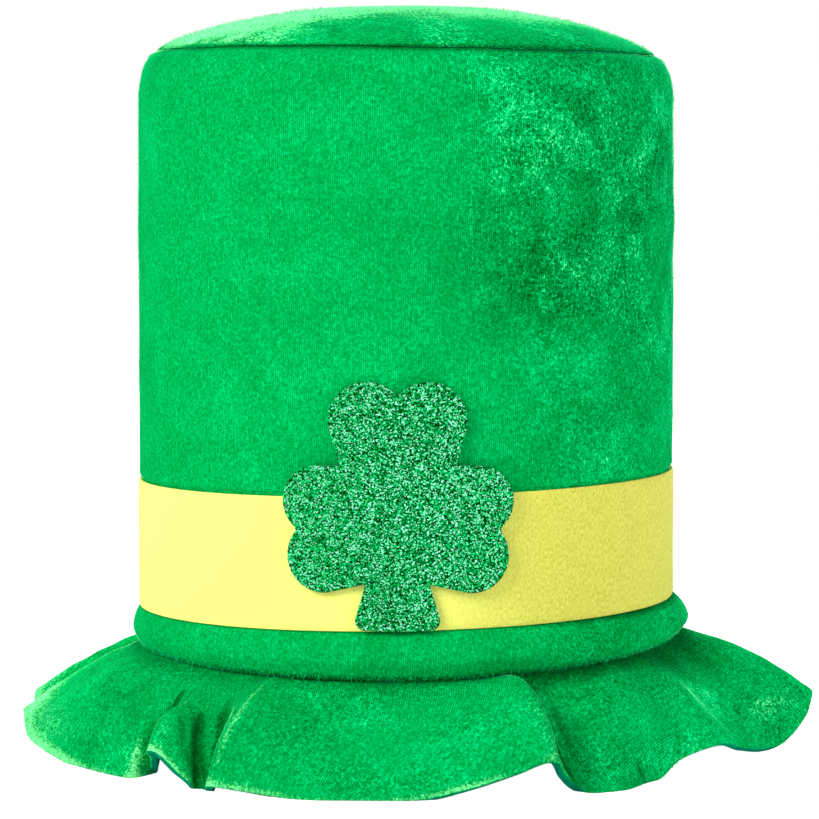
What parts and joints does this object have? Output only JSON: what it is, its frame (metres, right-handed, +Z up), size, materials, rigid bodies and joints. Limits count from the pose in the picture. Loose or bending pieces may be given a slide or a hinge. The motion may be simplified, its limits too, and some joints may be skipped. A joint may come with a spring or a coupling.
{
  "type": "leprechaun top hat",
  "caption": "Tall soft costume hat with a domed top, a ruffled brim, a plain felt band and a shamrock on the front.",
  "frame": {"origin": "on the table, at the middle of the box round the hat's footprint; the crown's axis stands 5.2 mm to -X and 0.8 mm to -Y of it", "axes": "+Z up out of the crown, the shamrock faces -Y, +X to the right of someone who looks at the shamrock"},
  "size_m": [0.3006, 0.2662, 0.2773],
  "materials": {
    "crown_velvet": "crushed velvet",
    "brim_velvet": "knit-backed velvet",
    "band_felt": "matt felt",
    "shamrock_glitter": "glitter foam"
  },
  "bodies": {
    "root": {"crown_side": "crown_velvet", "crown_top": "crown_velvet", "brim": "brim_velvet", "band": "band_felt", "shamrock": "shamrock_glitter"}
  },
  "joints": []
}
